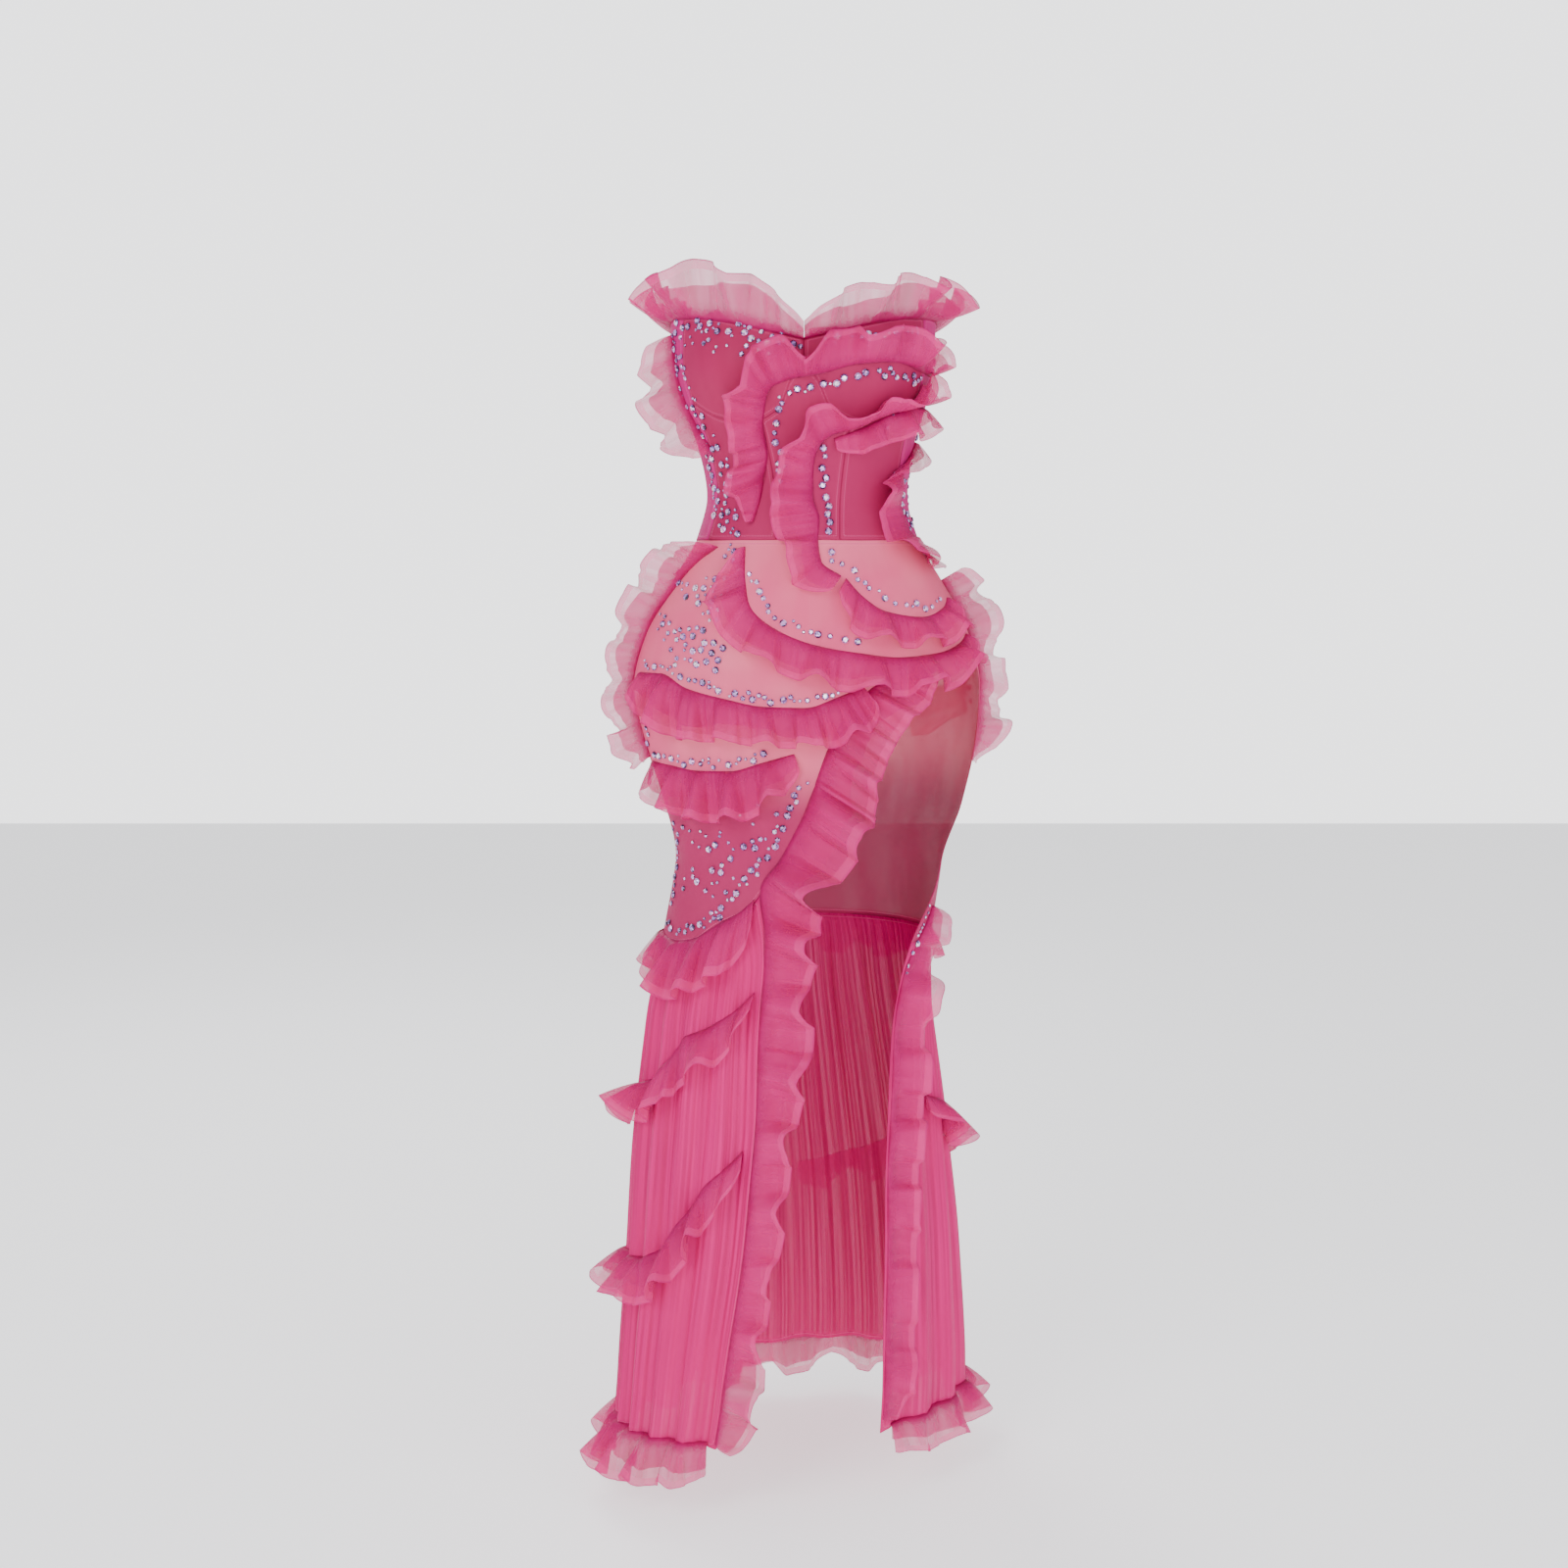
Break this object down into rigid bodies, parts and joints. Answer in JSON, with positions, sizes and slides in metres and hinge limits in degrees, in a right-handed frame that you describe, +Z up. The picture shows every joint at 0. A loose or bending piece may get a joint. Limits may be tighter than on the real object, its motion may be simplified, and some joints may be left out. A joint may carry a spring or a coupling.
{
  "type": "stage gown",
  "caption": "Strapless pink stage gown in sheer mesh with a corset bodice, winding organza ruffles, rhinestones, a high slit and a centre-back zip.",
  "frame": {"origin": "middle of the waist, inside the gown, where the wearer's waist holds it up", "axes": "+Z up along the wearer's body, -Y out of the gown's front, +X towards the wearer's left"},
  "size_m": [0.5134, 0.4277, 1.4036],
  "materials": {
    "mesh_rose": "fine sheer mesh over a lining, matt",
    "mesh_magenta": "fine sheer mesh, matt",
    "organza": "crisp sheer organza, soft sheen",
    "zip_tape": "woven tape, matt",
    "nickel": "polished nickel plate"
  },
  "bodies": {
    "root": {"bodice_front_centre": "mesh_rose", "bodice_cup_right": "mesh_rose", "bodice_cup_left": "mesh_rose", "bodice_front_right": "mesh_rose", "bodice_front_left": "mesh_rose", "bodice_side_right": "mesh_magenta", "bodice_side_left": "mesh_magenta", "bodice_back_right": "mesh_magenta", "bodice_back_left": "mesh_magenta", "skirt_front": "mesh_magenta", "skirt_back_right": "mesh_magenta", "skirt_back_left": "mesh_magenta", "skirt_lower_front": "mesh_magenta", "skirt_lower_back": "mesh_magenta", "ruffle_neckline_right": "organza", "ruffle_neckline_left": "organza", "ruffle_side_right": "organza", "ruffle_bust": "organza", "ruffle_centre": "organza", "ruffle_centre_under": "organza", "ruffle_hip_front": "organza", "ruffle_waist_left": "organza", "ruffle_hip_right": "organza", "ruffle_hip_left": "organza", "ruffle_tier_1": "organza", "ruffle_tier_2": "organza", "ruffle_tier_3": "organza", "ruffle_slit_upper": "organza", "ruffle_slit_front": "organza", "ruffle_slit_back": "organza", "ruffle_skirt_1": "organza", "ruffle_skirt_2": "organza", "ruffle_skirt_3": "organza", "ruffle_back_hip": "organza", "ruffle_back_knee": "organza", "ruffle_back_left": "organza", "ruffle_hem_front": "organza", "ruffle_hem_back": "organza", "back_zip_tape": "zip_tape", "zip_slider": "nickel"},
    "zip_pull": {"zip_pull": "nickel"}
  },
  "joints": [
    {"name": "zip_pull_swing", "type": "hinge", "parent": "root", "child": "zip_pull", "pos_m": [-0.0026, 0.10017, 0.12133], "axis": [1, 0, 0], "range_deg": [-6, 150]}
  ]
}
